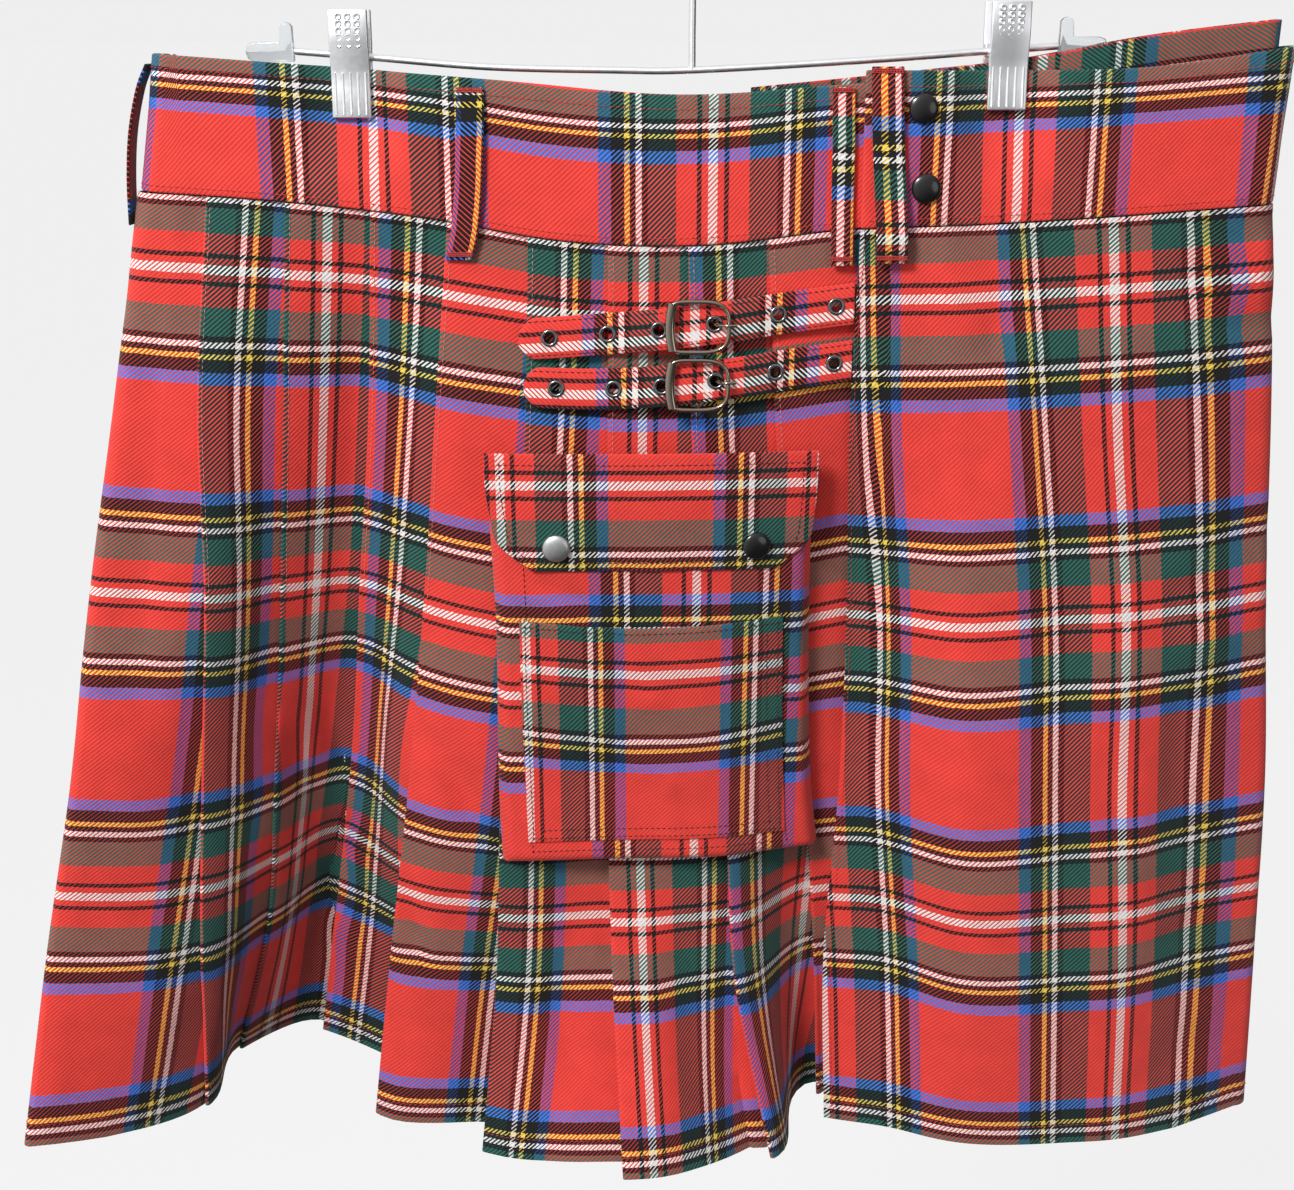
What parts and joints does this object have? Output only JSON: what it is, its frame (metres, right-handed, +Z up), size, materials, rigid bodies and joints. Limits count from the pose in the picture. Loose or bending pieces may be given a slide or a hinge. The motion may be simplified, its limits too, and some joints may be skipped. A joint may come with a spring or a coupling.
{
  "type": "kilt on a clip hanger",
  "caption": "Pleated utility kilt in red check wool-look cloth, with belt loops, buckled straps and a cargo pocket, hung by its waistband from a wire clip hanger.",
  "frame": {"origin": "inner top of the hanger's hook, where it hangs over a rail", "axes": "+X to the viewer's right along the waistband, +Y away from the viewer, +Z up"},
  "size_m": [0.7212, 0.1647, 0.7225],
  "materials": {
    "tartan_cloth": "twill weave, matt with a slight sheen",
    "eyelet_nickel": "dark nickel, polished",
    "buckle_gunmetal": "gunmetal plating, polished",
    "snap_black": "black lacquer, semi-gloss",
    "snap_silver": "worn silver cap",
    "hanger_metal": "bright chrome",
    "hanger_clear": "clear moulded plastic"
  },
  "bodies": {
    "root": {"skirt_front": "tartan_cloth", "skirt_back": "tartan_cloth", "apron": "tartan_cloth", "under_apron": "tartan_cloth", "waistband_front": "tartan_cloth", "waistband_apron": "tartan_cloth", "waistband_back": "tartan_cloth", "waistband_under": "tartan_cloth", "belt_loop_left": "tartan_cloth", "belt_loop_centre": "tartan_cloth", "belt_loop_apron": "tartan_cloth", "belt_loop_fold": "tartan_cloth", "belt_loop_back_left": "tartan_cloth", "belt_loop_back_right": "tartan_cloth", "strap_upper": "tartan_cloth", "strap_lower": "tartan_cloth", "pocket_bag": "tartan_cloth", "pocket_patch": "tartan_cloth", "pocket_flap": "tartan_cloth", "eyelet_upper_1": "eyelet_nickel", "eyelet_upper_2": "eyelet_nickel", "eyelet_upper_3": "eyelet_nickel", "eyelet_upper_4": "eyelet_nickel", "eyelet_upper_5": "eyelet_nickel", "eyelet_upper_6": "eyelet_nickel", "buckle_upper": "buckle_gunmetal", "prong_upper": "buckle_gunmetal", "eyelet_lower_1": "eyelet_nickel", "eyelet_lower_2": "eyelet_nickel", "eyelet_lower_3": "eyelet_nickel", "eyelet_lower_4": "eyelet_nickel", "eyelet_lower_5": "eyelet_nickel", "eyelet_lower_6": "eyelet_nickel", "buckle_lower": "buckle_gunmetal", "prong_lower": "buckle_gunmetal", "waist_snap_upper": "snap_black", "waist_snap_lower": "snap_black", "pocket_snap_right": "snap_black", "pocket_snap_left": "snap_silver", "hanger_rod": "hanger_metal", "clip_left_front": "hanger_metal", "clip_left_back": "hanger_metal", "clip_right_front": "hanger_metal", "clip_right_back": "hanger_metal", "hanger_end_left": "hanger_clear", "hanger_end_right": "hanger_clear"}
  },
  "joints": []
}
